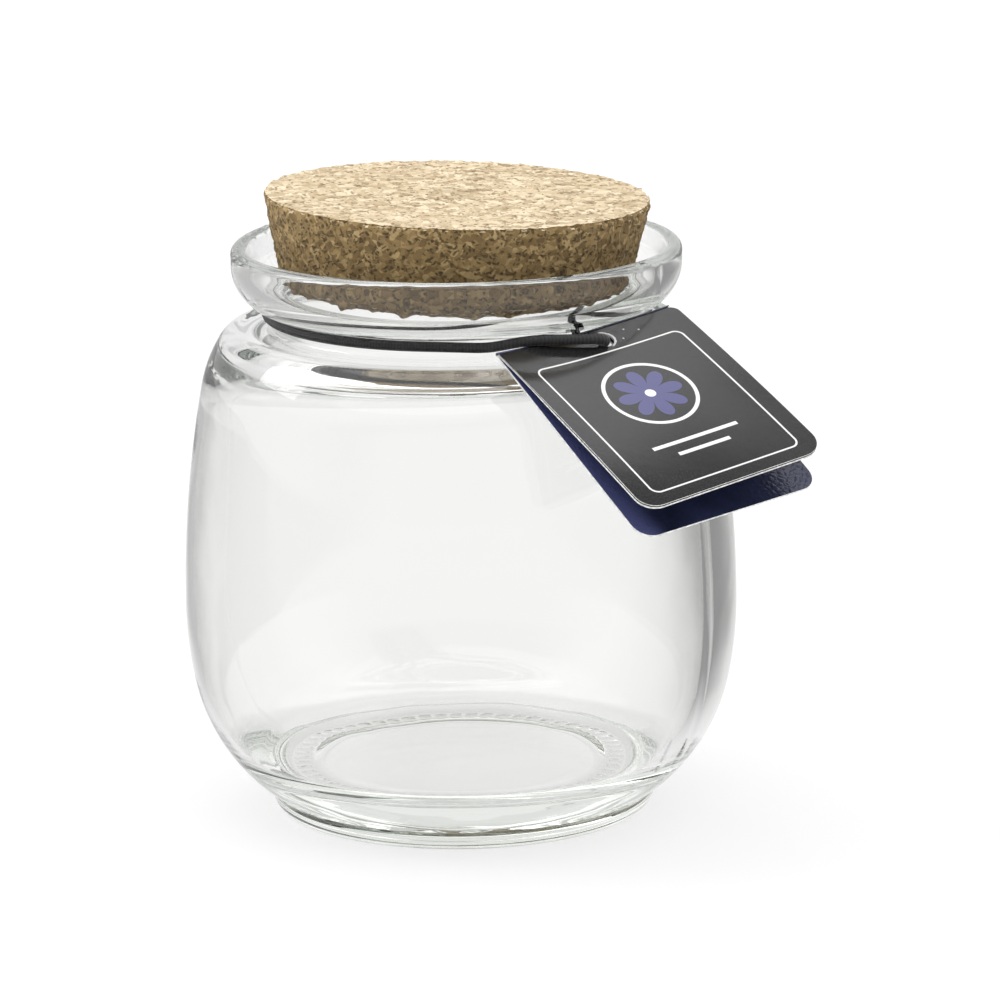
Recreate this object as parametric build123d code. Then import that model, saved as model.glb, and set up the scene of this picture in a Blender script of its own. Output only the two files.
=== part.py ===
from build123d import *
import os
from math import acos, asin, atan2, cos, degrees, hypot, radians, sin, sqrt, tan

# A round pressed-glass jar with a tapered cork stopper and, round its neck, an elastic cord
# that carries a folded card tag.
# Lengths are millimetres, angles are degrees. Z is up, the jar stands on Z = 0 round the Z axis,
# and -Y is the front. An azimuth is counted from the front towards +X.

# glass: foot
foot_radius = 34.4
foot_edge_radius = 3.7
foot_dish_radius = 26.0
foot_dish_depth = 1.2
foot_dish_slope = 1.4

# glass: outside of the body, from the belly down and from the belly up
belly_radius = 49.3
belly_height = 38.4
haunch_radius = 69.9
haunch_angle = 11.4
base_curve_radius = 33.4
flank_radius = 214.6
flank_angle = 10.5
shoulder_radius = 24.5
shoulder_angle = 33.0
shoulder_edge_radius = 4.1
shoulder_top_angle = 90.0

# glass: neck groove, rim and lip, each height counted from the one before
ledge_drop = 0.45
ledge_width = 2.2
neck_inset = 5.9
groove_height = 4.2
groove_foot_fillet = 1.2
groove_top_fillet = 0.7
rim_overhang = 7.2
rim_curve_radius = 8.2
rim_curve_angle = 64.5
rim_height = 10.8
lip_outer_round = 1.5
lip_inner_round = 1.3
lip_thickness = 2.9

# glass: inside
wall = 3.0
floor_thickness = 11.0
floor_corner_radius = 7.0
ceiling_wall = 2.6
neck_wall = 2.6
rim_wall = 3.0
bowl_end_angle = 82.0

# cork stopper
cork_over_throat = 0.56
cork_height = 17.5
cork_taper = 12.6
cork_above_lip = 8.7
cork_tilt = 2.2
cork_tilt_height = 2.3
cork_edge_chamfer = 0.4
cork_clearance = 0.4
seat_overrun = 1.2
seat_height = 1.4

# elastic cord
cord_diameter = 1.8
cord_clearance = 0.05
cord_below_rim = 1.3
knot_azimuth = 180.0
knot_turn_radius = 0.9
knot_turn_spread = 0.75
knot_clearance = 0.25
knot_entry = 1.3
knot_level_share = 0.4
tail_length = 5.5
tail_spread = 34.0
tail_droop = 3.0

# folded card tag
card_width = 38.0
card_length = 45.0
card_thickness = 0.4
card_corner_radius = 3.5
card_side_shift = 1.1
card_gap = 0.06
tag_azimuth = 34.7
tag_roll = 6.5
fold_inside_rim = 3.05
fold_below_rim = 0.3
card_rest_gap = 0.7
leaf_opening = 8.6
hole_diameter = 4.0
hole_from_fold = 3.3
hole_from_middle = 1.55

# the cord's way over the card and through its hole
over_from_hole = 13.0
over_gap = 0.5
over_outward = 0.6
pass_slope = 27.0
pass_front_reach = 2.9
pass_back_reach = 2.3
rise_start_share = 0.6
fall_end_share = 0.5
over_bend_radius = 12.0
front_bend_radius = 1.8
back_bend_radius = 2.1
level_bend_radius = 20.0


def on_arc(center, radius, angle):
    """Point of a circle in the (radius, height) plane."""
    return (center[0] + radius * cos(radians(angle)), center[1] + radius * sin(radians(angle)))


def arc(center, radius, start, end):
    """Arc of a profile, from one angle to another."""
    middle = (start + end) / 2
    return ThreePointArc(
        on_arc(center, radius, start), on_arc(center, radius, middle), on_arc(center, radius, end)
    )


def around(azimuth, reach, height):
    """Point at an azimuth from the front, a distance from the axis and a height."""
    return Vector(reach * sin(radians(azimuth)), -reach * cos(radians(azimuth)), height)


# centres of the body's outside arcs, each tangent to the one before
belly_center = (belly_radius - haunch_radius, belly_height)
base_center = on_arc(belly_center, haunch_radius - base_curve_radius, -haunch_angle)
flank_center = (belly_radius - flank_radius, belly_height)
shoulder_center = on_arc(flank_center, flank_radius - shoulder_radius, flank_angle)
edge_center = on_arc(shoulder_center, shoulder_radius - shoulder_edge_radius, shoulder_angle)

# radii and heights that follow from the arcs
neck_radius = edge_center[0] - neck_inset
throat_radius = neck_radius - neck_wall
rim_radius = neck_radius + rim_overhang
shoulder_top = edge_center[1] + shoulder_edge_radius
ledge_z = shoulder_top - ledge_drop
rim_under_z = ledge_z + groove_height
rim_center = (rim_radius - rim_curve_radius, rim_under_z + rim_curve_radius * sin(radians(rim_curve_angle)))
lip_z = rim_under_z + rim_height
cork_top_z = lip_z + cork_above_lip
cork_bottom_z = cork_top_z - cork_height
cork_bottom_radius = throat_radius + cork_over_throat
cork_top_radius = cork_bottom_radius + cork_height * tan(radians(cork_taper))
cord_radius = cord_diameter / 2
cord_reach = neck_radius + cord_clearance + cord_radius
cord_z = rim_under_z - cord_below_rim


def body_outside():
    """The glass from the foot's corner up to the ledge under the neck."""
    foot_angle = degrees(acos((foot_radius - base_center[0]) / base_curve_radius))
    kink = on_arc(base_center, base_curve_radius, -foot_angle)
    edge_top = (edge_center[0], shoulder_top)
    ledge_end = (edge_top[0] - ledge_width, ledge_z)
    return kink, [
        arc(base_center, base_curve_radius, -foot_angle, -haunch_angle),
        arc(belly_center, haunch_radius, -haunch_angle, 0),
        arc(flank_center, flank_radius, 0, flank_angle),
        arc(shoulder_center, shoulder_radius, flank_angle, shoulder_angle),
        arc(edge_center, shoulder_edge_radius, shoulder_angle, shoulder_top_angle),
        Line(edge_top, ledge_end),
    ], ledge_end


def foot_outside(kink):
    """The dished underside, the ring that it stands on and the foot's rounded edge."""
    ring_outer = foot_radius - foot_edge_radius
    edge = (ring_outer, foot_edge_radius)
    lines = [
        Line((0, foot_dish_depth), (foot_dish_radius - foot_dish_slope, foot_dish_depth)),
        Line((foot_dish_radius - foot_dish_slope, foot_dish_depth), (foot_dish_radius, 0)),
        Line((foot_dish_radius, 0), (ring_outer, 0)),
        arc(edge, foot_edge_radius, -90, 0),
        Line((foot_radius, foot_edge_radius), kink),
    ]
    return lines


def neck_and_rim(ledge_end):
    """The groove that holds the cord, the swelling rim and the rounded lip."""
    foot_fillet = (neck_radius + groove_foot_fillet, ledge_z + groove_foot_fillet)
    top_fillet = (neck_radius + groove_top_fillet, rim_under_z - groove_top_fillet)
    under_end = on_arc(rim_center, rim_curve_radius, -rim_curve_angle)
    lip_outer = (rim_radius - lip_outer_round, lip_z - lip_outer_round)
    lip_inner = (rim_radius - lip_thickness + lip_inner_round, lip_z - lip_inner_round)
    lines = [
        Line(ledge_end, (foot_fillet[0], ledge_z)),
        arc(foot_fillet, groove_foot_fillet, 270, 180),
        Line((neck_radius, foot_fillet[1]), (neck_radius, top_fillet[1])),
        arc(top_fillet, groove_top_fillet, 180, 90),
        Line((top_fillet[0], rim_under_z), under_end),
        arc(rim_center, rim_curve_radius, -rim_curve_angle, 0),
        Line((rim_radius, rim_center[1]), (rim_radius, lip_outer[1])),
        arc(lip_outer, lip_outer_round, 0, 90),
        Line((lip_outer[0], lip_z), (lip_inner[0], lip_z)),
        arc(lip_inner, lip_inner_round, 90, 180),
    ]
    return lines, (lip_inner[0] - lip_inner_round, lip_inner[1])


def cork_radius_at(height):
    """Radius of the upright cork's flank at a height."""
    return cork_top_radius - (cork_top_z - height) * tan(radians(cork_taper))


def seat_radius_at(height):
    """Radius of the glass seat, a clearance outside the cork's flank."""
    return cork_radius_at(height) + cork_clearance


def inside(lip_edge):
    """The rim's bowl, the seat at its bottom, the throat, and the hollow down to the floor."""
    bowl_radius = rim_curve_radius - rim_wall
    seat_bottom_z = cork_bottom_z - seat_overrun
    seat_top_z = seat_bottom_z + seat_height
    seat_top = (seat_radius_at(seat_top_z), seat_top_z)
    seat_bottom = (seat_radius_at(seat_bottom_z), seat_bottom_z)

    # the ceiling arc is tangent to the flank's inside and level with the ceiling
    ceiling_z = ledge_z - ceiling_wall
    flank_inner = flank_radius - wall
    flank_rise = flank_inner * sin(radians(flank_angle))
    ceiling_radius = (ceiling_z - belly_height - flank_rise) / (1 - sin(radians(flank_angle)))
    ceiling_center = on_arc(flank_center, flank_inner - ceiling_radius, flank_angle)
    throat_round = ceiling_center[0] - throat_radius
    throat_center = (ceiling_center[0], ceiling_z + throat_round)

    # the floor's corner arc is tangent to the base curve's inside and to the floor
    base_inner = base_curve_radius - wall
    corner_z = floor_thickness + floor_corner_radius
    corner_drop = base_center[1] - corner_z
    corner_run = sqrt((base_inner - floor_corner_radius) ** 2 - corner_drop ** 2)
    corner_center = (base_center[0] + corner_run, corner_z)
    corner_angle = degrees(atan2(corner_drop, corner_run))

    return [
        Line(lip_edge, on_arc(rim_center, bowl_radius, 0)),
        arc(rim_center, bowl_radius, 0, -bowl_end_angle),
        Line(on_arc(rim_center, bowl_radius, -bowl_end_angle), seat_top),
        Line(seat_top, seat_bottom),
        Line(seat_bottom, (throat_radius, throat_center[1])),
        arc(throat_center, throat_round, 180, 270),
        arc(ceiling_center, ceiling_radius, 90, flank_angle),
        arc(flank_center, flank_inner, flank_angle, 0),
        arc(belly_center, haunch_radius - wall, 0, -haunch_angle),
        arc(base_center, base_inner, -haunch_angle, -corner_angle),
        arc(corner_center, floor_corner_radius, -corner_angle, -90),
        Line((corner_center[0], floor_thickness), (0, floor_thickness)),
        Line((0, floor_thickness), (0, foot_dish_depth)),
    ]


def glass_jar():
    """The jar's section, turned round its axis."""
    kink, body, ledge_end = body_outside()
    neck, lip_edge = neck_and_rim(ledge_end)
    outline = foot_outside(kink) + body + neck + inside(lip_edge)
    section = make_face(Plane.XZ * Wire([line.edge() for line in outline]))
    return revolve(section, Axis.Z)


def cork_stopper():
    """A cone of pressed cork granules, set a little crooked in its seat."""
    upright = (Align.CENTER, Align.CENTER, Align.MIN)
    blank = Cone(cork_bottom_radius, cork_top_radius, cork_height, align=upright)
    blank = chamfer(blank.edges().filter_by(GeomType.CIRCLE), cork_edge_chamfer)
    # tilting lowers one side of the cone into a wider part of itself, so it moves over by that much
    slide = seat_radius_at(cork_bottom_z) * sin(radians(cork_tilt)) * tan(radians(cork_taper))
    pivot = Pos(-slide, 0, cork_bottom_z + cork_tilt_height)
    return pivot * Rot(0, cork_tilt, 0) * Pos(0, 0, -cork_tilt_height) * blank


# the back leaf lies over the shoulder's edge, the front leaf stands open from it
fold_reach = rim_radius - fold_inside_rim
fold_z = rim_under_z - fold_below_rim
edge_run = edge_center[0] - fold_reach
edge_fall = fold_z - edge_center[1]
rest_reach = shoulder_edge_radius + card_rest_gap + card_thickness
back_leaf_slope = degrees(atan2(edge_fall, edge_run) - asin(rest_reach / hypot(edge_run, edge_fall)))
front_leaf_slope = back_leaf_slope - leaf_opening

# the fold lies along local X, the card falls away towards local -Y
fold_place = Rot(0, 0, tag_azimuth) * Pos(0, -fold_reach, fold_z) * Rot(0, -tag_roll, 0)
front_place = fold_place * Rot(front_leaf_slope, 0, 0)
back_place = fold_place * Rot(back_leaf_slope, 0, 0)
card_left = card_side_shift - card_width / 2
card_right = card_side_shift + card_width / 2
hole_x = card_side_shift + hole_from_middle


def leaf_blank(start, bottom):
    """One leaf of the card: a sheet with two rounded outer corners and the punched hole."""
    run = card_length - start
    sheet = Pos(card_side_shift, -start - run / 2, bottom + card_thickness / 2) * Box(
        card_width, run, card_thickness
    )
    outer = sheet.edges().filter_by(Axis.Z).sort_by(Axis.Y)[0:2]
    sheet = fillet(outer, card_corner_radius)
    punch = Pos(hole_x, -hole_from_fold, bottom + card_thickness / 2) * Cylinder(
        hole_diameter / 2, 2 * card_thickness
    )
    return sheet - punch


def tag_back_leaf():
    """The leaf that lies on the shoulder, with the rolled crease along its top."""
    crease = Pos(card_side_shift, 0, 0) * Rot(0, 90, 0) * Cylinder(card_thickness, card_width)
    return back_place * (leaf_blank(0, -card_thickness) + crease)


def tag_front_leaf():
    """The outer leaf, which turns round the crease."""
    return front_place * leaf_blank(card_thickness + card_gap, 0)


def tangent_azimuth(point, side):
    """Azimuth where a straight run from a point meets the cord's circle round the neck."""
    azimuth = degrees(atan2(point.X, -point.Y))
    return azimuth + side * degrees(acos(cord_reach / hypot(point.X, point.Y)))


def card_points():
    """Corners of the cord's way: over the crease, before the holes and behind them."""
    over_lift = cord_radius + card_thickness + over_gap
    over = (fold_place * Pos(hole_x - over_from_hole, -over_outward, over_lift)).position
    middle_slope = (front_leaf_slope + back_leaf_slope) / 2
    hole_place = fold_place * Rot(middle_slope, 0, 0) * Pos(hole_x, -hole_from_fold, 0)
    pass_place = hole_place * Rot(-middle_slope, 0, 0) * Rot(-pass_slope, 0, 0)
    front = (pass_place * Pos(0, -pass_front_reach, 0)).position
    back = (pass_place * Pos(0, pass_back_reach, 0)).position
    return over, front, back


def knot_center():
    """The knot fills the groove's height and stands clear of the neck by its own size."""
    knot_radius = knot_turn_radius + cord_radius
    return around(knot_azimuth, neck_radius + knot_clearance + knot_radius, (ledge_z + rim_under_z) / 2)


def level_then(start, end, share):
    """Corner of a run that stays level from its start and then slopes to its end."""
    return start + (Vector(end.X, end.Y, start.Z) - start) * share


def neck_arc(start_azimuth, end_azimuth):
    """The cord lying round the neck from one azimuth to another."""
    middle = (start_azimuth + end_azimuth) / 2
    points = [around(azimuth, cord_reach, cord_z) for azimuth in (start_azimuth, middle, end_azimuth)]
    return ThreePointArc(*points)


def elastic_band():
    """One cord: from the knot round the neck, over the card, through its holes and back."""
    over, front, back = card_points()
    knot = knot_center()
    first_azimuth = tangent_azimuth(knot, 1) - 360
    leave_azimuth = tangent_azimuth(over, -1)
    rejoin_azimuth = tangent_azimuth(back, 1)
    last_azimuth = tangent_azimuth(knot, -1)
    first, leave, rejoin, last = [
        around(azimuth, cord_reach, cord_z)
        for azimuth in (first_azimuth, leave_azimuth, rejoin_azimuth, last_azimuth)
    ]
    out_of_knot = level_then(first, knot, knot_level_share)
    into_knot = level_then(last, knot, knot_level_share)
    start = knot + (out_of_knot - knot).normalized() * knot_entry
    end = knot + (into_knot - knot).normalized() * knot_entry
    over_card = FilletPolyline(
        leave, level_then(leave, over, rise_start_share), over, front, back,
        level_then(rejoin, back, fall_end_share), rejoin,
        radius=[level_bend_radius, over_bend_radius, front_bend_radius, back_bend_radius, level_bend_radius],
    )
    route = (
        FilletPolyline(start, out_of_knot, first, radius=level_bend_radius)
        + neck_arc(first_azimuth, leave_azimuth)
        + over_card
        + neck_arc(rejoin_azimuth, last_azimuth)
        + FilletPolyline(last, into_knot, end, radius=level_bend_radius)
    )
    path = Wire(route.edges())
    start_plane = Plane(origin=start, z_dir=out_of_knot - start)
    tube = sweep(start_plane * Circle(cord_radius), path=path)
    error = abs(tube.volume / (path.length * Circle(cord_radius).area) - 1)
    print("cord length", round(path.length, 1), "tube error", round(error, 5))
    print("radii", level_bend_radius, over_bend_radius, front_bend_radius, back_bend_radius, cord_reach)
    return tube


def elastic_knot(band):
    """The knot that closes the loop: two turns round the cord and two cut tails."""
    place = Pos(*knot_center()) * Rot(0, 0, knot_azimuth)
    turn = Rot(0, 90, 0) * Torus(knot_turn_radius, cord_radius)
    core = Rot(0, 90, 0) * Cylinder(knot_turn_radius, 2 * knot_turn_spread + cord_diameter)
    lump = core
    for side in (-1, 1):
        lump += Pos(side * knot_turn_spread, 0, 0) * turn
        tail = Cylinder(cord_radius, tail_length, align=(Align.CENTER, Align.CENTER, Align.MIN))
        lump += Rot(0, 0, side * tail_spread) * Rot(90 + tail_droop, 0, 0) * tail
    return place * lump - band


band = elastic_band()
nodes = {
    "glass_jar": glass_jar(),
    "cork_stopper": cork_stopper(),
    "elastic_band": band,
    "elastic_knot": elastic_knot(band),
    "tag_back_leaf": tag_back_leaf(),
    "tag_front_leaf": tag_front_leaf(),
}

os.makedirs("parts", exist_ok=True)
for name, solid in nodes.items():
    export_step(solid, f"parts/{name}.step")
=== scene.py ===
from math import acos, atan2, cos, degrees, hypot, pi, radians, sin, sqrt, tan

import bmesh
import bpy
from mathutils import Matrix, Vector


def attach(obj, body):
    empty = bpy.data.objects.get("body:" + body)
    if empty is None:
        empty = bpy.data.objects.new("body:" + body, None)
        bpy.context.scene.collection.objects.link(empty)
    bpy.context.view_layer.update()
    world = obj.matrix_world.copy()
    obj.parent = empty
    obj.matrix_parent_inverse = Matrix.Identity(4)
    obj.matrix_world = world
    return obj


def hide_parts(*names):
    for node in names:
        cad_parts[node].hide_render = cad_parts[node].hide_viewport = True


# A round pressed-glass jar with a cork stopper, and an elastic cord that carries a folded card tag.
# Sizes in the dictionaries are millimetres and degrees, but metres in the studio's. Meshes are in metres.

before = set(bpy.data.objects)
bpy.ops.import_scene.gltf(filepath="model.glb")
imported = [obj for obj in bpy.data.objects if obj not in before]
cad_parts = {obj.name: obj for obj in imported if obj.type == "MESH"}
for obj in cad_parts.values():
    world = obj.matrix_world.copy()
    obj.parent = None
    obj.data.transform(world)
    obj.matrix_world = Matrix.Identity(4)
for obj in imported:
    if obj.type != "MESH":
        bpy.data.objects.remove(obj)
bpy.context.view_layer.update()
mm = 0.001
print("frame loaded")


# mesh work

def deselectAll():
    bpy.ops.object.select_all(action="DESELECT")


def editMode():
    bpy.ops.object.mode_set(mode="EDIT")


def objectMode():
    bpy.ops.object.mode_set(mode="OBJECT")


def pick(kind, test):  # selects the verts or faces that pass a test, in edit mode
    piece = bpy.context.object
    mesh = bmesh.from_edit_mesh(piece.data)
    bpy.ops.mesh.select_all(action="DESELECT")
    bpy.ops.mesh.select_mode(type={"verts": "VERT", "faces": "FACE"}[kind])
    for element in getattr(mesh, kind):
        if test(element):
            element.select_set(True)
    bmesh.update_edit_mesh(piece.data)


def applyModifier(kind, **settings):
    piece = bpy.context.object
    modifier = piece.modifiers.new(kind.title(), kind)
    for key, value in settings.items():
        setattr(modifier, key, value)
    bpy.ops.object.modifier_apply(modifier=modifier.name)


def makeGroup(piece, name, weigh):  # a vertex group, each point's weight from its place and normal
    group = piece.vertex_groups.new(name=name)
    for point in piece.data.vertices:
        weight = weigh(point)
        if weight > 0:
            group.add([point.index], weight, "REPLACE")


def roughen(piece, group, kind, size, depth, level, contrast=1.0):  # pushes points along their normals
    pattern = bpy.data.textures.new(piece.name + kind, kind)
    pattern.noise_scale = size * mm
    pattern.contrast = contrast
    if kind == "CLOUDS":
        pattern.noise_depth = 2
    applyModifier("DISPLACE", texture=pattern, texture_coords="LOCAL", vertex_group=group,
                  strength=depth * mm, mid_level=level)


def fade(value, low, high):  # 0 below low, 1 above high, smooth between
    share = min(max((value - low) / (high - low), 0.0), 1.0)
    return share * share * (3 - 2 * share)


def startOutline(name, point):  # one point in the XZ plane, from which an outline is drawn
    deselectAll()
    bpy.ops.mesh.primitive_plane_add(size=mm)
    piece = bpy.context.object
    piece.name = piece.data.name = name
    editMode()
    bpy.ops.mesh.merge(type="CENTER")
    bpy.ops.transform.translate(value=(point[0] * mm, 0, point[1] * mm))
    return piece


def lineBy(across, up, steps=1):
    step = (across * mm / steps, 0, up * mm / steps)
    for _ in range(steps):
        bpy.ops.mesh.extrude_region_move(TRANSFORM_OT_translate={"value": step})


def arcAbout(center, start, end, steps):  # turns the outline's end point about a centre
    bpy.ops.mesh.spin(
        steps=steps, angle=radians(end - start), center=(center[0] * mm, 0, center[1] * mm), axis=(0, 1, 0)
    )


def onArc(center, radius, angle):
    return (center[0] + radius * cos(radians(angle)), center[1] + radius * sin(radians(angle)))


def draw(outline, start):  # outline: ("line", point, steps) or ("arc", centre, start, end, steps)
    here = start
    for kind, *how in outline:
        if kind == "line":
            point, steps = how
            lineBy(point[0] - here[0], point[1] - here[1], steps)
            here = point
        else:
            center, first, last, steps = how
            arcAbout(center, first, last, steps)
            here = onArc(center, hypot(here[0] - center[0], here[1] - center[1]), last)


def spinRound(steps):  # turns the whole outline round the Z axis and closes it
    bpy.ops.mesh.select_all(action="SELECT")
    bpy.ops.mesh.spin(steps=steps, angle=2 * pi, center=(0, 0, 0), axis=(0, 0, 1))
    bpy.ops.mesh.select_all(action="SELECT")
    bpy.ops.mesh.remove_doubles(threshold=0.002 * mm)
    bpy.ops.mesh.normals_make_consistent(inside=False)


def reach(point):
    return hypot(point.x, point.y) / mm


# materials

def newMaterial(name):
    material = bpy.data.materials.new(name)
    material.use_nodes = True
    tree = material.node_tree
    tree.nodes.clear()
    output = tree.nodes.new("ShaderNodeOutputMaterial")
    shader = tree.nodes.new("ShaderNodeBsdfPrincipled")
    tree.links.new(shader.outputs["BSDF"], output.inputs["Surface"])
    return material, tree, shader, output


def node(tree, kind, links=None, **settings):
    made = tree.nodes.new("ShaderNode" + kind)
    for key, value in settings.items():
        setattr(made, key, value)
    for socket, value in (links or {}).items():
        if isinstance(value, bpy.types.NodeSocket):
            tree.links.new(value, made.inputs[socket])
        else:
            made.inputs[socket].default_value = value
    return made


def calculate(tree, operation, first, second=0.0):  # one step of arithmetic
    return node(tree, "Math", {0: first, 1: second}, operation=operation).outputs[0]


def fromPoint(tree, x, y):  # distance from the point where both are 0
    squares = [calculate(tree, "MULTIPLY", value, value) for value in (x, y)]
    return calculate(tree, "SQRT", calculate(tree, "ADD", *squares))


def mixed(tree, share, first, second):  # two numbers
    return node(tree, "Mix", {0: share, 2: first, 3: second}).outputs[0]


def smoothBand(tree, value, low, high, lowLevel=0.0, highLevel=1.0):  # one level up to low, another from high
    made = node(tree, "MapRange", {
        "Value": value, "From Min": low, "From Max": high, "To Min": lowLevel, "To Max": highLevel,
    }, interpolation_type="SMOOTHSTEP")
    return made.outputs["Result"]


def blend(tree, share, first, second):  # two colours
    made = node(tree, "Mix", data_type="RGBA")
    for index, value in ((0, share), (6, first), (7, second)):
        if isinstance(value, bpy.types.NodeSocket):
            tree.links.new(value, made.inputs[index])
        else:
            made.inputs[index].default_value = value if index == 0 else (*value, 1)
    return made.outputs[2]


def paint(piece, materials, choose):  # a material for each face, by its place and normal
    piece.data.materials.clear()
    for material in materials:
        piece.data.materials.append(material)
    for face in piece.data.polygons:
        face.material_index = choose(face)


def wear(piece, material):  # one material on the whole piece
    piece.data.materials.clear()
    piece.data.materials.append(material)


# glass jar

glass = {
    "footRadius": 34.4, "footEdgeRadius": 3.7, "dishRadius": 27.4, "dishDepth": 0.9, "dishSlope": 3.0,
    "bellyRadius": 49.3, "bellyHeight": 38.4, "haunchRadius": 69.9, "haunchAngle": 11.4,
    "baseCurveRadius": 33.4, "flankRadius": 214.6, "flankAngle": 10.5,
    "shoulderRadius": 24.5, "shoulderAngle": 33.0, "edgeRadius": 4.1,
    "ledgeDrop": 0.45, "ledgeWidth": 2.2,
    "neckRadius": 32.83, "grooveHeight": 4.2, "grooveRounds": (1.2, 0.7),
    "rimRadius": 40.03, "rimCurveRadius": 8.2, "rimCurveAngle": 64.5, "rimHeight": 10.8,
    "lipOuterRound": 1.5, "lipInnerRound": 1.3, "lipThickness": 2.9,
    "wall": 3.0, "floorThickness": 11.0, "floorCorner": 7.0, "ceilingWall": 2.6, "throatRadius": 30.2,
    "rimWall": 3.0, "bowlEnd": 82.0,
    "seatRadius": 30.92, "seatHeight": 1.4, "seatSlope": 12.6, "seatBottom": 92.8,
    "stepsRound": 240, "knurlInner": 27.6, "knurlOuter": 29.8, "knurlDepth": 0.10,
    "innerShift": -1.2, "waveSize": 18.0, "waveDepth": 0.13, "waveFade": (14, 3),
    "seamAzimuth": 62.0, "seamHeight": 0.12, "seamStart": 8, "smoothAngle": 38,
    "surfaceColor": (1.0, 1.0, 0.995, 1), "bodyColor": (0.84, 0.87, 0.83, 1), "bodyDensity": 13.0,
}


def makeGlassJar():
    g = glass
    belly = (g["bellyRadius"] - g["haunchRadius"], g["bellyHeight"])
    base = onArc(belly, g["haunchRadius"] - g["baseCurveRadius"], -g["haunchAngle"])
    flank = (g["bellyRadius"] - g["flankRadius"], g["bellyHeight"])
    shoulder = onArc(flank, g["flankRadius"] - g["shoulderRadius"], g["flankAngle"])
    edge = onArc(shoulder, g["shoulderRadius"] - g["edgeRadius"], g["shoulderAngle"])
    ledge = edge[1] + g["edgeRadius"] - g["ledgeDrop"]
    under = ledge + g["grooveHeight"]
    lip = under + g["rimHeight"]
    foot = g["footRadius"] - g["footEdgeRadius"]
    lowRound, highRound = g["grooveRounds"]
    kink = degrees(acos((g["footRadius"] - base[0]) / g["baseCurveRadius"]))
    rise = g["rimCurveRadius"] * sin(radians(g["rimCurveAngle"]))
    curve = (g["rimRadius"] - g["rimCurveRadius"], under + rise)
    lipOuter = (g["rimRadius"] - g["lipOuterRound"], lip - g["lipOuterRound"])
    lipInner = (g["rimRadius"] - g["lipThickness"] + g["lipInnerRound"], lip - g["lipInnerRound"])
    seatWider = g["seatHeight"] * sin(radians(g["seatSlope"]))
    seatTop = (g["seatRadius"] + seatWider, g["seatBottom"] + g["seatHeight"])
    bowl = g["rimCurveRadius"] - g["rimWall"]

    ceiling = ledge - g["ceilingWall"]
    flankInner = g["flankRadius"] - g["wall"]
    flankRise = flankInner * sin(radians(g["flankAngle"]))
    ceilingRadius = (ceiling - g["bellyHeight"] - flankRise) / (1 - sin(radians(g["flankAngle"])))
    ceilingArc = onArc(flank, flankInner - ceilingRadius, g["flankAngle"])
    throat = (ceilingArc[0], ceiling + ceilingArc[0] - g["throatRadius"])
    baseInner = g["baseCurveRadius"] - g["wall"]
    cornerDrop = base[1] - g["floorThickness"] - g["floorCorner"]
    cornerRun = sqrt((baseInner - g["floorCorner"]) ** 2 - cornerDrop ** 2)
    corner = (base[0] + cornerRun, g["floorThickness"] + g["floorCorner"])
    cornerAngle = degrees(atan2(cornerDrop, cornerRun))

    start = (0, g["dishDepth"])
    jar = startOutline("glassJar", start)
    draw([
        ("line", (g["dishRadius"] - g["dishSlope"], g["dishDepth"]), 16),
        ("line", (g["dishRadius"], 0), 3),
        ("line", (g["knurlInner"], 0), 1),
        ("line", (g["knurlOuter"], 0), 3),
        ("line", (foot, 0), 2),
        ("arc", (foot, g["footEdgeRadius"]), -90, 0, 8),
        ("line", onArc(base, g["baseCurveRadius"], -kink), 1),
        ("arc", base, -kink, -g["haunchAngle"], 22),
        ("arc", belly, -g["haunchAngle"], 0, 10),
        ("arc", flank, 0, g["flankAngle"], 26),
        ("arc", shoulder, g["flankAngle"], g["shoulderAngle"], 10),
        ("arc", edge, g["shoulderAngle"], 90, 8),
        ("line", (edge[0] - g["ledgeWidth"], ledge), 3),
        ("line", (g["neckRadius"] + lowRound, ledge), 2),
        ("arc", (g["neckRadius"] + lowRound, ledge + lowRound), 270, 180, 4),
        ("line", (g["neckRadius"], under - highRound), 2),
        ("arc", (g["neckRadius"] + highRound, under - highRound), 180, 90, 4),
        ("line", onArc(curve, g["rimCurveRadius"], -g["rimCurveAngle"]), 2),
        ("arc", curve, -g["rimCurveAngle"], 0, 16),
        ("line", (g["rimRadius"], lipOuter[1]), 3),
        ("arc", lipOuter, 0, 90, 7),
        ("line", (lipInner[0], lip), 1),
        ("arc", lipInner, 90, 180, 7),
        ("line", (curve[0] + bowl, curve[1]), 3),
        ("arc", curve, 0, -g["bowlEnd"], 14),
        ("line", seatTop, 2),
        ("line", (g["seatRadius"], g["seatBottom"]), 3),
        ("line", (g["throatRadius"], throat[1]), 4),
        ("arc", throat, 180, 270, 12),
        ("arc", ceilingArc, 90, g["flankAngle"], 16),
        ("arc", flank, g["flankAngle"], 0, 48),
        ("arc", belly, 0, -g["haunchAngle"], 12),
        ("arc", base, -g["haunchAngle"], -cornerAngle, 14),
        ("arc", corner, -cornerAngle, -90, 12),
        ("line", (0, g["floorThickness"]), 16),
    ], start)
    steps = g["stepsRound"]
    spinRound(steps)

    def column(point):  # which of the outline's copies a point belongs to
        return round(atan2(point.co.y, point.co.x) / (2 * pi) * steps) % steps

    # short radial ribs are pressed into the ring that the jar stands on
    pick("verts", lambda v: abs(v.co.z) < 0.01 * mm and column(v) % 4 < 2
         and g["knurlInner"] - 0.05 < reach(v.co) < g["knurlOuter"] + 0.05)
    bpy.ops.transform.translate(value=(0, 0, g["knurlDepth"] * mm))
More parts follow.
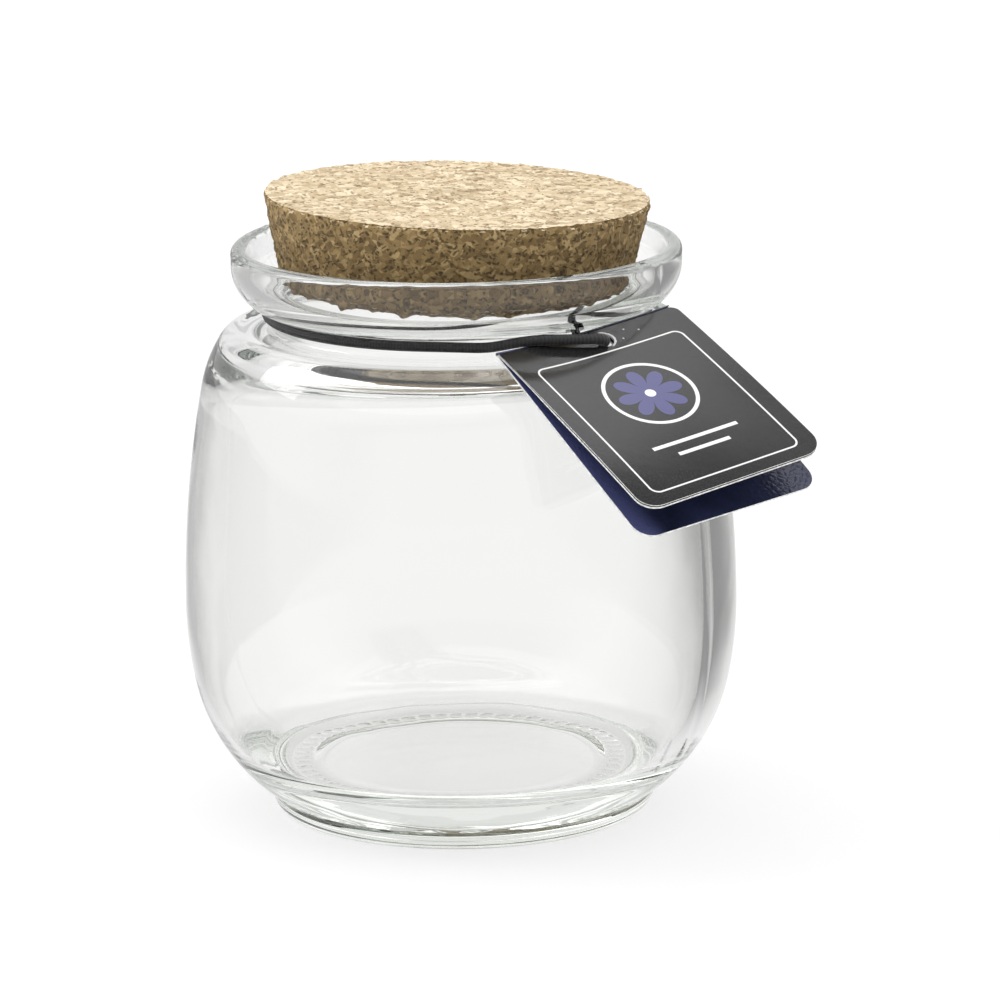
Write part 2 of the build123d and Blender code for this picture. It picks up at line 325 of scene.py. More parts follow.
    # the mould's two seams stand proud of the outside
    first = round((g["seamAzimuth"] - 90) / 360 * steps) % steps
    seams = (first, (first + steps // 2) % steps)
    pick("verts", lambda v: column(v) in seams and v.co.z > g["seamStart"] * mm and v.co.xy.length > 20 * mm
         and v.normal.xy.dot(v.co.xy) > 0.15 * v.co.xy.length)
    bpy.ops.transform.shrink_fatten(value=g["seamHeight"] * mm)
    objectMode()

    # the inside is uneven, and the wall is thicker on the right
    def insideShare(point):
        height = point.co.z / mm
        inward = point.normal.xy.dot(point.co.xy) < -0.05 * point.co.xy.length
        onFloor = abs(height - g["floorThickness"]) < 0.01
        if not (inward or onFloor) or height < g["floorThickness"] - 0.1:
            return 0.0
        fadeStart, fadeEnd = g["waveFade"]
        return 1 - fade(height, ledge - fadeStart, ledge - fadeEnd)

    makeGroup(jar, "inside", insideShare)
    applyModifier("DISPLACE", direction="X", texture_coords="LOCAL", vertex_group="inside",
                  strength=g["innerShift"] * mm, mid_level=0.0)
    roughen(jar, "inside", "CLOUDS", g["waveSize"], g["waveDepth"], 0.5)
    bpy.ops.object.shade_smooth_by_angle(angle=radians(g["smoothAngle"]))
    return jar


glassJar = makeGlassJar()
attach(glassJar, "jar")
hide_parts("glass_jar")
print("glass jar", len(glassJar.data.polygons), "faces")


def makeGlass():
    material, tree, shader, output = newMaterial("clearGlass")
    shader.inputs["Base Color"].default_value = glass["surfaceColor"]
    shader.inputs["Roughness"].default_value = 0.0
    shader.inputs["IOR"].default_value = 1.5
    shader.inputs["Transmission Weight"].default_value = 1.0
    absorb = node(tree, "VolumeAbsorption", {"Color": glass["bodyColor"], "Density": glass["bodyDensity"]})
    tree.links.new(absorb.outputs["Volume"], output.inputs["Volume"])
    return material


wear(glassJar, makeGlass())


# cork stopper

cork = {
    "topRadius": 34.7, "height": 17.5, "taper": 12.6, "top": 111.5, "tilt": 2.2, "edgeRound": 0.5,
    "pivotHeight": 2.3, "shift": -0.27, "stepsRound": 400,
    "granuleSize": 2.4, "granuleDepth": 0.42, "chipSize": 1.1, "chipDepth": 0.35, "chipContrast": 2.0,
    "lowerChipSize": 3.2, "lowerChipDepth": 1.5, "lowerFade": (0.6, 2.4), "edgeContrast": 2.2,
    "upperChipSize": 1.92, "upperChipDepth": 0.45, "upperFade": (0.3, 1.2), "smoothAngle": 60,
    # granules and dashes: length, height and depth, then how they are turned
    "granules": (((4.6, 1.5, 1.5), (10, 15, 25)), ((3.8, 1.3, 1.3), (-15, -30, -45))),
    "dashes": (
        ((2.6, 0.55, 0.55), (0, 15, 35)), ((2.0, 0.5, 0.5), (20, -30, -30)), ((1.2, 0.7, 0.7), (0, 70, 10)),
    ),
    "wander": 0.9,
}
corkFinishes = {  # grain 1 is the coarsest
    "corkFace": {
        "light": (0.80, 0.68, 0.49), "pale": (0.66, 0.535, 0.355), "middle": (0.46, 0.35, 0.21),
        "dark": (0.17, 0.105, 0.045), "dashShare": 0.19, "grain": 1.0,
    },
    # painted shade: the side's colours are a darker copy of the face's, standing in for the shade on the
    # stopper's side
    "corkSideShaded": {
        "light": (0.43, 0.305, 0.14), "pale": (0.28, 0.187, 0.074), "middle": (0.175, 0.11, 0.04),
        "dark": (0.04, 0.025, 0.007), "dashShare": 0.26, "grain": 0.62,
    },
}


def makeCork():
    c = cork
    low = c["top"] - c["height"]
    bottomRadius = c["topRadius"] - c["height"] * tan(radians(c["taper"]))
    edge = c["edgeRound"]
    plug = startOutline("corkPlug", (0, low))
    draw([
        ("line", (bottomRadius - edge, low), 24),
        ("line", (bottomRadius + 0.3 * edge, low + edge), 2),
        ("line", (c["topRadius"] - 0.3 * edge, c["top"] - edge), 34),
        ("line", (c["topRadius"] - edge, c["top"]), 2),
        ("line", (0, c["top"]), 60),
    ], (0, low))
    spinRound(c["stepsRound"])
    objectMode()

    # granules stand out of the surface, crumbs are missing, most of all along the lower edge
    makeGroup(plug, "skin", lambda p: 1.0)
    makeGroup(plug, "side", lambda p: 1 - fade(abs(p.normal.z), 0.5, 0.9))
    for name, radius, height in (("lower", bottomRadius, low), ("upper", c["topRadius"], c["top"])):
        makeGroup(plug, name + "Edge", lambda p: 1 - fade(
            hypot(reach(p.co) - radius, p.co.z / mm - height), *c[name + "Fade"]))
    roughen(plug, "side", "VORONOI", c["granuleSize"], -c["granuleDepth"], 0.0)
    roughen(plug, "lowerEdge", "CLOUDS", c["lowerChipSize"], -c["lowerChipDepth"], 0.0, c["edgeContrast"])
    roughen(plug, "upperEdge", "CLOUDS", c["upperChipSize"], -c["upperChipDepth"], 0.0, c["edgeContrast"])
    roughen(plug, "skin", "CLOUDS", c["chipSize"], -c["chipDepth"], 0.0, c["chipContrast"])

    pivot = Vector((0, 0, (low + c["pivotHeight"]) * mm))
    turn = Matrix.Translation(pivot + Vector((c["shift"] * mm, 0, 0)))
    turn @= Matrix.Rotation(radians(c["tilt"]), 4, "Y") @ Matrix.Translation(-pivot)
    plug.matrix_world = turn
    bpy.ops.object.transform_apply(location=True, rotation=True)
    bpy.ops.object.shade_smooth_by_angle(angle=radians(c["smoothAngle"]))
    return plug


corkPlug = makeCork()
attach(corkPlug, "cork")
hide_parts("cork_stopper")
print("cork", len(corkPlug.data.polygons), "faces")


def slivers(tree, place, size, turn):  # long cells of a size in millimetres, turned in degrees
    angles, lengths = [radians(angle) for angle in turn], [value * mm for value in size]
    turned = node(tree, "Mapping", {
        "Vector": place, "Rotation": angles, "Scale": lengths,
    }, vector_type="TEXTURE")
    cells = node(tree, "TexVoronoi", {"Vector": turned.outputs[0], "Scale": 1.0, "Randomness": 1.0})
    chance = node(tree, "SeparateColor", {"Color": cells.outputs["Color"]})
    return cells.outputs["Distance"], chance.outputs["Red"], chance.outputs["Green"]


def makeCorkMaterial(name):
    c = corkFinishes[name]
    grain, dark, dashStart = c["grain"], c["dark"], 1 - c["dashShare"]
    material, tree, shader, _ = newMaterial(name)
    place = node(tree, "TexCoord").outputs["Object"]
    wander = node(tree, "TexNoise", {"Vector": place, "Scale": 900.0, "Detail": 2.0})
    offset = node(tree, "VectorMath", {0: wander.outputs["Color"], 1: (0.5, 0.5, 0.5)}, operation="SUBTRACT")
    offset = node(tree, "VectorMath", {0: offset.outputs[0], "Scale": cork["wander"] * mm}, operation="SCALE")
    where = node(tree, "VectorMath", {0: place, 1: offset.outputs[0]}, operation="ADD").outputs[0]

    # granules lie two ways, and each has its own tone
    (_, firstTone, firstOdd), (_, secondTone, secondOdd) = (
        slivers(tree, where, [grain * value for value in size], turn) for size, turn in cork["granules"]
    )
    way = node(tree, "TexNoise", {"Vector": place, "Scale": 330.0 / grain, "Detail": 0.0})
    choice = smoothBand(tree, way.outputs[0], 0.49, 0.51)
    tone = mixed(tree, choice, firstTone, secondTone)
    odd = mixed(tree, choice, firstOdd, secondOdd)
    color = blend(tree, smoothBand(tree, tone, 0.0, 0.6), c["middle"], c["pale"])
    color = blend(tree, smoothBand(tree, tone, 0.6, 1.0), color, c["light"])
    brown = smoothBand(tree, odd, 0.90, 0.93)
    color = blend(tree, calculate(tree, "MULTIPLY", brown, 0.45), color, dark)

    # short dark dashes are the gaps and the bark between the granules
    dashes = 0.0
    for size, turn in cork["dashes"]:
        distance, chance, _ = slivers(tree, where, size, turn)
        chosen = smoothBand(tree, chance, dashStart, dashStart + 0.03)
        dash = calculate(tree, "MULTIPLY", smoothBand(tree, distance, 0.25, 0.5, 1.0, 0.0), chosen)
        dashes = calculate(tree, "MAXIMUM", dashes, dash)
    color = blend(tree, calculate(tree, "MULTIPLY", dashes, 0.8), color, dark)
    grit = node(tree, "TexNoise", {"Vector": place, "Scale": 2200.0, "Detail": 2.0})
    color = blend(tree, smoothBand(tree, grit.outputs[0], 0.3, 0.7, 0.0, 0.22), color, c["middle"])
    tree.links.new(color, shader.inputs["Base Color"])
    shader.inputs["Roughness"].default_value = 0.85
    relief = calculate(tree, "SUBTRACT", calculate(tree, "MULTIPLY", tone, 0.6), dashes)
    relief = calculate(tree, "ADD", relief, calculate(tree, "MULTIPLY", grit.outputs[0], 0.3))
    bump = node(tree, "Bump", {"Height": relief, "Strength": 0.7, "Distance": 0.0003})
    tree.links.new(bump.outputs["Normal"], shader.inputs["Normal"])
    return material


corkSkins = [makeCorkMaterial(name) for name in ("corkFace", "corkSideShaded")]
# faces turned sideways take the side's darker copy, painted shade
paint(corkPlug, corkSkins, lambda face: 0 if abs(face.normal.z) > 0.75 else 1)


# elastic cord, on the frame's own nodes

elastic = {
    "reach": 33.78, "height": 90.7, "strandPitch": 1.1, "strands": 5,
    "dark": (0.005, 0.005, 0.006), "light": (0.020, 0.020, 0.022),
}


def makeElasticMaterial():
    material, tree, shader, _ = newMaterial("braidedElastic")
    place = node(tree, "SeparateXYZ", {"Vector": node(tree, "TexCoord").outputs["Object"]})
    x, y, z = (place.outputs[axis] for axis in "XYZ")
    perTurn = elastic["reach"] / elastic["strandPitch"]
    along = calculate(tree, "MULTIPLY", calculate(tree, "ARCTAN2", y, x), perTurn)
    out = calculate(tree, "SUBTRACT", fromPoint(tree, x, y), elastic["reach"] * mm)
    up = calculate(tree, "SUBTRACT", z, elastic["height"] * mm)
    around = calculate(tree, "MULTIPLY", calculate(tree, "ARCTAN2", up, out), float(elastic["strands"]))
    turn = calculate(tree, "MULTIPLY", along, 2 * pi)
    left = calculate(tree, "SINE", calculate(tree, "ADD", turn, around))
    right = calculate(tree, "SINE", calculate(tree, "SUBTRACT", turn, around))
    weave = calculate(tree, "MULTIPLY", left, right)
    share = smoothBand(tree, weave, -0.6, 0.8)
    tree.links.new(blend(tree, share, elastic["dark"], elastic["light"]), shader.inputs["Base Color"])
    shader.inputs["Roughness"].default_value = 0.55
    shader.inputs["Sheen Weight"].default_value = 0.1
    bump = node(tree, "Bump", {"Height": weave, "Strength": 0.5, "Distance": 0.00012})
    tree.links.new(bump.outputs["Normal"], shader.inputs["Normal"])
    return material


elasticFinish = makeElasticMaterial()
wear(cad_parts["elastic_band"], elasticFinish)
wear(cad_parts["elastic_knot"], elasticFinish)
print("elastic dressed")


# folded card tag

tag = {
    "width": 38.0, "length": 45.0, "thickness": 0.4, "sideShift": 1.1, "gap": 0.06,
    "cornerRadii": {"tagFront": (3.5, 4.2), "tagBack": (3.5, 3.5)}, "creaseCorner": 1.6,
    # shares of the cut edge's bands, from the inner face to the printed one; on the front leaf the last band
    # is a painted highlight
    "plies": {"tagFront": (0.45, 0.35, 0.2), "tagBack": (0.3, 0.4, 0.3)},
    "azimuth": 34.7, "roll": 6.5, "foldReach": 36.976, "foldHeight": 91.704, "backSlope": 34.81,
    "frontSlope": 26.21, "holeRadius": 2.0, "holeDown": 3.3, "holeAcross": 2.65, "cell": 2.4,
    "edgeThickness": 0.75, "creaseLift": (1.2, 0.5), "endLift": (0.0, 1.4), "backShear": 1.0, "curl": 0.4,
    "thickFade": (6, 20), "creaseTurn": 190, "creaseSteps": 10, "smoothAngle": 30,
    "navy": ((0.012, 0.016, 0.036), (0.028, 0.034, 0.085)), "blueEdge": (0.10, 0.11, 0.26),
    # the core colours also paint the highlight band along the front leaf's printed face
    "core": ((0.50, 0.50, 0.49), (0.85, 0.85, 0.84)),
}


def drawLeaf(name, top):  # the flat outline with its hole, in the XZ plane, cut into cells
    t = tag
    left, right = t["sideShift"] - t["width"] / 2, t["sideShift"] + t["width"] / 2
    end = -t["length"]
    (leftRound, rightRound), topRound = t["cornerRadii"][name], t["creaseCorner"]
    leaf = startOutline(name, (left, -top))
    draw([
        ("line", (left, end + leftRound), 10),
        ("arc", (left + leftRound, end + leftRound), 180, 270, 8),
        ("line", (right - rightRound, end), 10),
        ("arc", (right - rightRound, end + rightRound), 270, 360, 8),
        ("line", (right, -top - topRound), 10),
        ("arc", (right - topRound, -top - topRound), 0, 90, 6),
        ("line", (left, -top), 10),
    ], (left, -top))
    bpy.ops.mesh.select_all(action="SELECT")
    bpy.ops.mesh.remove_doubles(threshold=0.01 * mm)
    bpy.ops.mesh.primitive_circle_add(
        vertices=40, radius=t["holeRadius"] * mm, location=(t["holeAcross"] * mm, 0, -t["holeDown"] * mm),
        rotation=(pi / 2, 0, 0),
    )
    bpy.ops.mesh.select_all(action="SELECT")
    bpy.ops.mesh.fill(use_beauty=True)
    for axis, low, high in ((0, left, right), (2, end, -top)):
        count = int((high - low) / t["cell"])
        for i in range(1, count):
            point, normal = [0, 0, 0], [0, 0, 0]
            point[axis], normal[axis] = (low + (high - low) * i / count) * mm, 1
            bpy.ops.mesh.select_all(action="SELECT")
            bpy.ops.mesh.bisect(plane_co=point, plane_no=normal)
    bpy.ops.mesh.select_all(action="SELECT")
    return leaf


def thicken(name, way):  # each band of the cut edge gets its own ring of faces
    bpy.ops.mesh.select_all(action="SELECT")
    for share in tag["plies"][name]:
        step = (0, way * share * tag["thickness"] * mm, 0)
        bpy.ops.mesh.extrude_region_move(TRANSFORM_OT_translate={"value": step})
    bpy.ops.mesh.select_all(action="SELECT")
    bpy.ops.mesh.normals_make_consistent(inside=False)


def mapLeaf(leaf):  # the flat card's own coordinates, kept before it is bent
    layer = leaf.data.uv_layers.new(name="cardPlace")
    left = tag["sideShift"] - tag["width"] / 2
    for loop in leaf.data.loops:
        at = leaf.data.vertices[loop.vertex_index].co
        layer.data[loop.index].uv = ((at.x / mm - left) / tag["width"], -at.z / mm / tag["length"])


def bend(leaf, rule):  # moves each point by what the rule gives for its place across and down the card
    for point in leaf.data.vertices:
        across, out, down = point.co.x / mm - tag["sideShift"], point.co.y / mm, -point.co.z / mm
        point.co += Vector([value * mm for value in rule(across, out, down)])


def placeLeaf(leaf, slope):
    t = tag
    place = Matrix.Rotation(radians(t["azimuth"]), 4, "Z")
    place @= Matrix.Translation((0, -t["foldReach"] * mm, t["foldHeight"] * mm))
    place @= Matrix.Rotation(-radians(t["roll"]), 4, "Y") @ Matrix.Rotation(radians(slope), 4, "X")
    leaf.matrix_world = place @ Matrix.Rotation(-pi / 2, 4, "X")
    bpy.ops.object.transform_apply(location=True, rotation=True)


def creaseLift(across):
    half = tag["width"] / 2
    return tag["creaseLift"][0 if across < 0 else 1] * (across / half) ** 2


def frontBend(across, out, down):
    t = tag
    share = down / t["length"]
    atLeft, atRight = t["endLift"]
    level = (atLeft + atRight) / 2 + (atRight - atLeft) / t["width"] * across
    lift = creaseLift(across) * (1 - share) + level * share + 4 * t["curl"] * share * (1 - share)
    thick = (t["edgeThickness"] - t["thickness"]) * fade(down, *t["thickFade"])
    return 0, -lift + (thick * (1 + out / t["thickness"]) if out > -t["thickness"] else 0), 0


def backBend(across, out, down):
    share = down / tag["length"]
    return tag["backShear"] * share, -creaseLift(across) * (1 - share), 0


def makeFrontLeaf():
    leaf = drawLeaf("tagFront", tag["thickness"] + tag["gap"])
    thicken("tagFront", -1)
    objectMode()
    mapLeaf(leaf)
    return leaf


def makeBackLeaf():
    leaf = drawLeaf("tagBack", 0.0)
    thicken("tagBack", 1)
    # the crease rolls round the fold from the back leaf's outside
    pick("faces", lambda f: f.normal.z > 0.9)
    bpy.ops.mesh.spin(
        steps=tag["creaseSteps"], angle=-radians(tag["creaseTurn"]), center=(0, 0, 0), axis=(1, 0, 0)
    )
    bpy.ops.mesh.select_all(action="SELECT")
    bpy.ops.mesh.remove_doubles(threshold=0.002 * mm)
    bpy.ops.mesh.normals_make_consistent(inside=False)
    objectMode()
    mapLeaf(leaf)
    return leaf


def dressLeaf(leaf, outer, inner, core, outward):  # outward is the sign of Y on the printed side
    first, second, _ = tag["plies"][leaf.name]

    def choose(face):
        if abs(face.normal.y) > 0.9:
            return 0 if face.normal.y * outward > 0 else 1
        if face.normal.z > 0.9 or abs(face.normal.y) > 0.3 or face.center.z > -0.1 * mm:
            return 0
        # the front leaf's cut edge shows a dark band of the printed colour between two pale core-coloured
        # ones; the pale band next to the printed face is a painted highlight, a glint along that face's edge
        depth = abs(face.center.y) / (tag["thickness"] * mm)
        return 0 if leaf.name == "tagFront" and first < depth < first + second else 2

    paint(leaf, [outer, inner, core], choose)


design = {  # printed on the card, across from its middle and down from its crease
    "frameMiddle": 24.4, "frameHalf": (13.8, 16.2), "frameRound": 1.6, "frameLine": 0.34,
    "ringDown": 19.5, "ringRadius": 8.2, "ringLine": 0.7, "dotWidth": 2.0,
    "rules": ((32.6, 8.5), (35.4, 5.0)), "ruleLine": 0.8,
    "petals": 8, "petalBase": 1.9, "petalReach": 4.6, "softness": 0.05,
    "tornReach": (2.55, 2.7), "tornSide": (0.3, 0.9),
    "chips": ((5.2, 2.2), (3.6, 4.4), (7.6, 3.4)), "chipEdge": (0.12, 0.24),
    "black": ((0.012, 0.012, 0.013), (0.026, 0.026, 0.026)),
    "violet": (0.085, 0.085, 0.22), "white": (0.86, 0.86, 0.85), "fibres": (0.75, 0.75, 0.74),
}


def makePrintedCard():
    d = design
    material, tree, shader, _ = newMaterial("printedCard")
    place = node(tree, "TexCoord").outputs["Object"]
    flat = node(tree, "SeparateXYZ", {"Vector": node(tree, "UVMap", uv_map="cardPlace").outputs["UV"]})

    def plus(first, second):
        return calculate(tree, "ADD", first, second)

    def less(first, second):
        return calculate(tree, "SUBTRACT", first, second)

    def times(first, second):
        return calculate(tree, "MULTIPLY", first, second)

    def larger(first, second=0.0):
        return calculate(tree, "MAXIMUM", first, second)

    def size(value):
        return calculate(tree, "ABSOLUTE", value)

    def within(distance, low, high):  # 1 up to low, 0 from high
        return smoothBand(tree, distance, low, high, 1.0, 0.0)

    def line(distance, width):
        return within(distance, width / 2 - d["softness"], width / 2 + d["softness"])

    across = times(less(flat.outputs["X"], 0.5), tag["width"])
    down = times(flat.outputs["Y"], tag["length"])

    # a thin frame line, a ring with a rosette and two short rules
    fromMiddle = less(down, d["frameMiddle"])
    past = [larger(less(size(value), half)) for value, half in zip((across, fromMiddle), d["frameHalf"])]
    white = line(size(less(fromPoint(tree, *past), d["frameRound"])), d["frameLine"])
    fromRing = less(down, d["ringDown"])
    radius = fromPoint(tree, across, fromRing)
    white = larger(white, line(size(less(radius, d["ringRadius"])), d["ringLine"]))
    white = larger(white, line(radius, d["dotWidth"]))
    for height, half in d["rules"]:
        rule = larger(less(size(across), half), size(less(down, height)))
        white = larger(white, line(rule, d["ruleLine"]))
    angle = calculate(tree, "ARCTAN2", fromRing, across)
    petal = size(calculate(tree, "COSINE", times(angle, d["petals"] / 2)))
    petal = plus(times(calculate(tree, "SQRT", petal), d["petalReach"]), d["petalBase"])
    violet = within(less(radius, petal), -d["softness"], d["softness"])

    # white fibres stand up along one side of the punched hole, and the print has chipped near it
    toHole, downHole = less(across, tag["holeAcross"] - tag["sideShift"]), less(down, tag["holeDown"])
    rag = node(tree, "TexNoise", {"Vector": place, "Scale": 1400.0, "Detail": 2.0})
    reachHole = plus(fromPoint(tree, toHole, downHole), times(rag.outputs[0], 0.5))
    torn = times(within(reachHole, *d["tornReach"]), smoothBand(tree, toHole, *d["tornSide"]))
    for aside, height in d["chips"]:
        spot = fromPoint(tree, less(toHole, aside), less(down, height))
        torn = larger(torn, within(spot, *d["chipEdge"]))

    grain = node(tree, "TexNoise", {"Vector": place, "Scale": 3200.0, "Detail": 2.0})
    color = blend(tree, smoothBand(tree, grain.outputs[0], 0.35, 0.65), *d["black"])
    color = blend(tree, violet, color, d["violet"])
    color = blend(tree, white, color, d["white"])
    color = blend(tree, times(torn, 0.8), color, d["fibres"])
    tree.links.new(color, shader.inputs["Base Color"])
    shader.inputs["Roughness"].default_value = 0.12
    shader.inputs["IOR"].default_value = 1.58
    wave = node(tree, "TexNoise", {"Vector": place, "Scale": 60.0, "Detail": 0.0})
    height = plus(times(wave.outputs[0], 2.0), times(grain.outputs[0], 0.12))
    bump = node(tree, "Bump", {"Height": height, "Strength": 0.35, "Distance": 0.0001})
    tree.links.new(bump.outputs["Normal"], shader.inputs["Normal"])
    return material


def makeInnerCard():
    material, tree, shader, _ = newMaterial("navyCard")
    place = node(tree, "TexCoord").outputs["Object"]
    cloud = node(tree, "TexNoise", {"Vector": place, "Scale": 90.0, "Detail": 3.0})
    color = blend(tree, smoothBand(tree, cloud.outputs[0], 0.35, 0.7), *tag["navy"])
    flat = node(tree, "SeparateXYZ", {"Vector": node(tree, "UVMap", uv_map="cardPlace").outputs["UV"]})
    # painted light: a lighter blue strip along the left edge, where light falls in through the gap between
    # the leaves
    color = blend(tree, smoothBand(tree, flat.outputs["X"], 0.04, 0.16, 0.8, 0.0), color, tag["blueEdge"])
    tree.links.new(color, shader.inputs["Base Color"])
    shader.inputs["Roughness"].default_value = 0.22
    crackle = node(tree, "TexVoronoi", {"Vector": place, "Scale": 900.0}, feature="DISTANCE_TO_EDGE")
    bump = node(tree, "Bump", {"Height": crackle.outputs["Distance"], "Strength": 0.5, "Distance": 0.0002})
    tree.links.new(bump.outputs["Normal"], shader.inputs["Normal"])
    return material


# the card's core colour, also used for the painted highlight band on the front leaf's edge
def makeCardCoreAndGlint():
    material, tree, shader, _ = newMaterial("cutCardEdge")
    place = node(tree, "TexCoord").outputs["Object"]
    fibre = node(tree, "TexNoise", {"Vector": place, "Scale": 1800.0, "Detail": 3.0})
    color = blend(tree, smoothBand(tree, fibre.outputs[0], 0.3, 0.7), *tag["core"])
    tree.links.new(color, shader.inputs["Base Color"])
    shader.inputs["Roughness"].default_value = 0.8
    return material


printedCard, innerCard, cardCoreAndGlint = makePrintedCard(), makeInnerCard(), makeCardCoreAndGlint()
for make, rule, slope, body, replaced, outward in (
    (makeFrontLeaf, frontBend, tag["frontSlope"], "tag_front", "tag_front_leaf", -1),
    (makeBackLeaf, backBend, tag["backSlope"], "tag_back", "tag_back_leaf", 1),
):
    leaf = make()
    dressLeaf(leaf, printedCard, innerCard, cardCoreAndGlint, outward)
    bend(leaf, rule)
    placeLeaf(leaf, slope)
    bpy.ops.object.shade_smooth_by_angle(angle=radians(tag["smoothAngle"]))
    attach(leaf, body)
    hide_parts(replaced)
    print(leaf.name, len(leaf.data.polygons), "faces")


# floor, world and light

studio = {
    "floorSize": 12.0, "floorColor": (0.9, 0.9, 0.9, 1), "floorRoughness": 0.9,
    # painted light: for glass and gloss the floor glows as a pale sheet under the jar and away behind it,
    # over a darker table
    "sheetHalfWidth": 0.035, "sheetSpread": 0.14, "sheetEdge": 0.06, "sheetLevel": 0.95,
    "sheetFront": (-0.10, -0.03),
    "tableLeft": 0.52, "tableRight": 0.29, "tableMiddle": (-0.02, 0.02), "tableFront": 0.75,
    # painted shadow: the glow is darker under the jar, darkest under the ring it stands on
    "underLevel": 0.84, "underEdge": (0.042, 0.055),
    "ringLevel": 0.64, "ringInside": (0.024, 0.028), "ringOutside": (0.031, 0.036), "shadowShare": 0.25,
    # levels of the room at the back, the sides and the front, from the horizon up
    "lowBand": (0.85, 1.10, 0.7), "midBand": (0.72, 1.20, 0.45), "highBand": (1.4, 1.5, 1.0),
    "sideTurn": (radians(25), radians(65)), "frontTurn": (radians(105), radians(145)),
    "midStart": (0.25, 0.35), "highStart": (0.55, 0.65),
    "stripLevel": 1.5, "stripStart": (0.75, 0.78), "topLevel": 2.5, "topStart": (0.855, 0.885),
    "flagLevel": 0.3, "flagPlace": (0.211, 0.381, 0.90), "flagEdge": (0.955, 0.975),
    "lampPlace": (-0.75, 0.05, 0.55), "lampTarget": (0, 0, 0.06), "lampSize": 0.4, "lampPower": 1.8,
}


def makeFloor():
    t = studio
    deselectAll()
    bpy.ops.mesh.primitive_plane_add(size=t["floorSize"])
    floor = bpy.context.object
    floor.name = floor.data.name = "paleFloor"
    editMode()
    bpy.ops.mesh.subdivide(number_cuts=6)
    objectMode()
    material, tree, shader, output = newMaterial("paleFloor")
    shader.inputs["Base Color"].default_value = t["floorColor"]
    shader.inputs["Roughness"].default_value = t["floorRoughness"]
    path = node(tree, "LightPath")
    place = node(tree, "SeparateXYZ", {"Vector": node(tree, "TexCoord").outputs["Object"]})
    x, y = place.outputs["X"], place.outputs["Y"]
    table = smoothBand(tree, x, *t["tableMiddle"], t["tableLeft"], t["tableRight"])
    width = t["sheetHalfWidth"]
    spread = calculate(tree, "MULTIPLY", calculate(tree, "MAXIMUM", y), t["sheetSpread"])
    outward = calculate(tree, "SUBTRACT", calculate(tree, "ABSOLUTE", x), spread)
    sheet = mixed(tree, smoothBand(tree, outward, width, width + t["sheetEdge"]), t["sheetLevel"], table)
    sheet = mixed(tree, smoothBand(tree, y, *t["sheetFront"]), t["tableFront"], sheet)
    # painted shadow under the jar and its bearing ring, in the glow that glass and gloss see
    fromJar = fromPoint(tree, x, y)
    under = mixed(tree, smoothBand(tree, fromJar, *t["ringInside"]), t["underLevel"], t["ringLevel"])
    under = mixed(tree, smoothBand(tree, fromJar, *t["ringOutside"]), under, t["underLevel"])
    sheet = mixed(tree, smoothBand(tree, fromJar, *t["underEdge"]), under, sheet)
    level = calculate(tree, "MAXIMUM", sheet, path.outputs["Is Camera Ray"])
    # the camera still sees a share of the real shadow; glass and gloss see only the floor's glow, the painted
    # sheet and table
    inGlass = calculate(tree, "MAXIMUM", path.outputs["Is Transmission Ray"], path.outputs["Is Glossy Ray"])
    seen = calculate(tree, "MULTIPLY", path.outputs["Is Camera Ray"], 1 - t["shadowShare"])
    share = calculate(tree, "MAXIMUM", inGlass, seen)
    white = node(tree, "Emission", {"Color": (1, 1, 1, 1), "Strength": level})
    both = node(tree, "MixShader", {"Fac": share})
    tree.links.new(shader.outputs["BSDF"], both.inputs[1])
    tree.links.new(white.outputs["Emission"], both.inputs[2])
    tree.links.new(both.outputs["Shader"], output.inputs["Surface"])
    wear(floor, material)


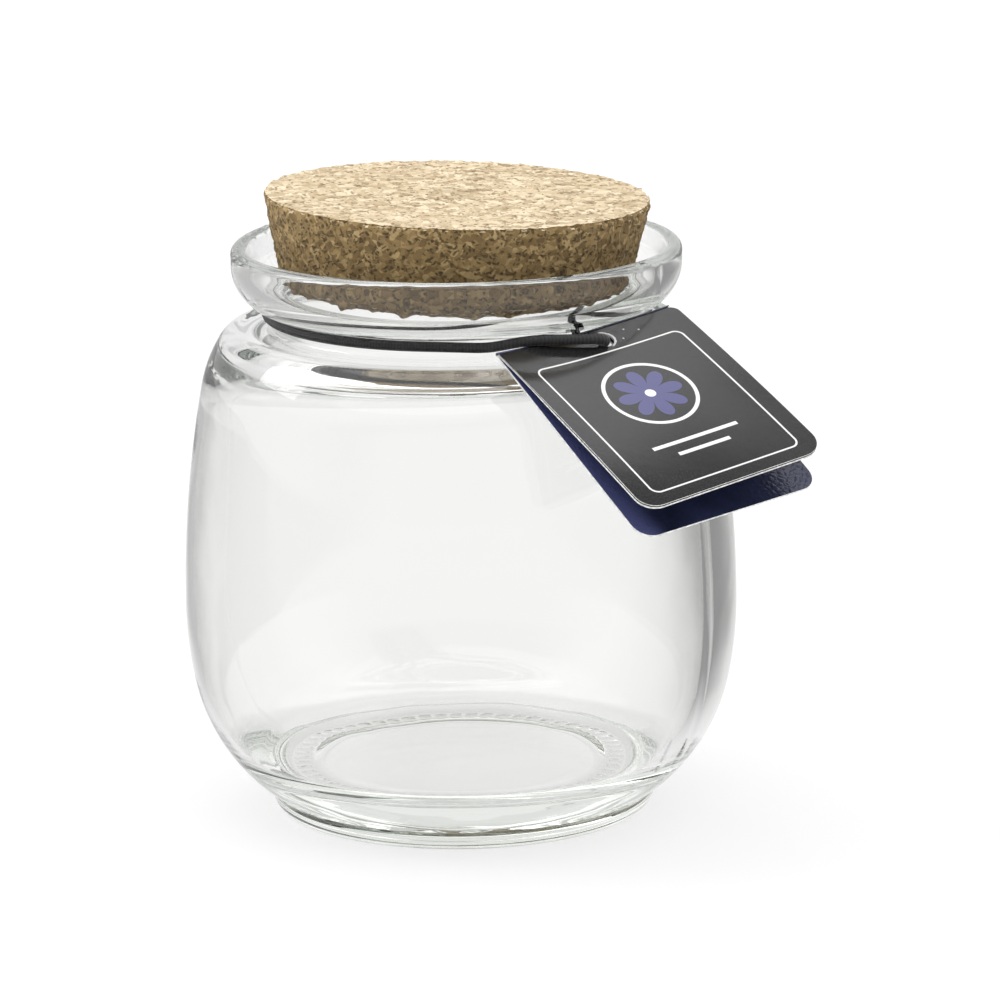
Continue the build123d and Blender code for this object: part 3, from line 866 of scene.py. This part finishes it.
def makeWorld():
    world = bpy.data.worlds.new("studio")
    bpy.context.scene.world = world
    world.use_nodes = True
    tree = world.node_tree
    tree.nodes.clear()
    output = tree.nodes.new("ShaderNodeOutputWorld")
    t = studio
    direction = node(tree, "TexCoord").outputs["Generated"]
    place = node(tree, "SeparateXYZ", {"Vector": direction})
    x, y, z = (place.outputs[axis] for axis in "XYZ")
    turned = calculate(tree, "ABSOLUTE", calculate(tree, "ARCTAN2", x, y))
    toSide = smoothBand(tree, turned, *t["sideTurn"])
    toFront = smoothBand(tree, turned, *t["frontTurn"])
    low, mid, high = (
        mixed(tree, toFront, mixed(tree, toSide, back, side), front)
        for back, side, front in (t["lowBand"], t["midBand"], t["highBand"])
    )
    level = mixed(tree, smoothBand(tree, z, *t["midStart"]), low, mid)
    level = mixed(tree, smoothBand(tree, z, *t["highStart"]), level, high)
    level = mixed(tree, smoothBand(tree, z, *t["stripStart"]), level, t["stripLevel"])
    # a dark flag hangs beside the top light, where the card would mirror it
    toFlag = node(tree, "VectorMath", {0: direction, 1: t["flagPlace"]}, operation="DOT_PRODUCT")
    top = smoothBand(tree, toFlag.outputs["Value"], *t["flagEdge"], t["topLevel"], t["flagLevel"])
    level = mixed(tree, smoothBand(tree, z, *t["topStart"]), level, top)
    room = node(tree, "Background", {"Color": (1, 1, 1, 1), "Strength": level})
    white = node(tree, "Background", {"Color": (1, 1, 1, 1), "Strength": 1.0})
    both = node(tree, "MixShader", {"Fac": node(tree, "LightPath").outputs["Is Camera Ray"]})
    tree.links.new(room.outputs["Background"], both.inputs[1])
    tree.links.new(white.outputs["Background"], both.inputs[2])
    tree.links.new(both.outputs["Shader"], output.inputs["Surface"])


def addSoftbox():
    t = studio
    deselectAll()
    bpy.ops.object.light_add(type="AREA", location=t["lampPlace"])
    lamp = bpy.context.object
    lamp.name = "softboxLeft"
    lamp.data.shape = "RECTANGLE"
    lamp.data.size = lamp.data.size_y = t["lampSize"]
    lamp.data.energy = t["lampPower"]
    aim = Vector(t["lampTarget"]) - Vector(t["lampPlace"])
    lamp.rotation_euler = aim.to_track_quat("-Z", "Y").to_euler()
    lamp.visible_camera = False
    lamp.visible_transmission = False


makeFloor()
makeWorld()
addSoftbox()


# camera

camera = {
    "distance": 1191.83, "aimHeight": 57.0, "elevation": 12.834, "roll": 0.844, "lens": 240.35,
    "shiftX": 0.0402, "shiftY": -0.0062, "sensor": 36.0, "clip": (0.05, 50.0),
}


def makeCamera():
    c = camera
    e = radians(c["elevation"])
    deselectAll()
    bpy.ops.object.camera_add(
        location=(0, -c["distance"] * mm * cos(e), (c["aimHeight"] + c["distance"] * sin(e)) * mm)
    )
    view = bpy.context.object
    look = Matrix.Rotation(pi / 2 - e, 3, "X") @ Matrix.Rotation(-radians(c["roll"]), 3, "Z")
    view.rotation_euler = look.to_euler()
    view.data.lens = c["lens"]
    view.data.sensor_width = c["sensor"]
    view.data.shift_x, view.data.shift_y = c["shiftX"], c["shiftY"]
    view.data.clip_start, view.data.clip_end = c["clip"]
    bpy.context.scene.camera = view


makeCamera()
bpy.context.scene.view_settings.view_transform = "Standard"
bounces = bpy.context.scene.cycles  # thick glass passes light on many times
bounces.max_bounces = bounces.transmission_bounces = bounces.glossy_bounces = 32
print("stage, light and camera set")

deselectAll()
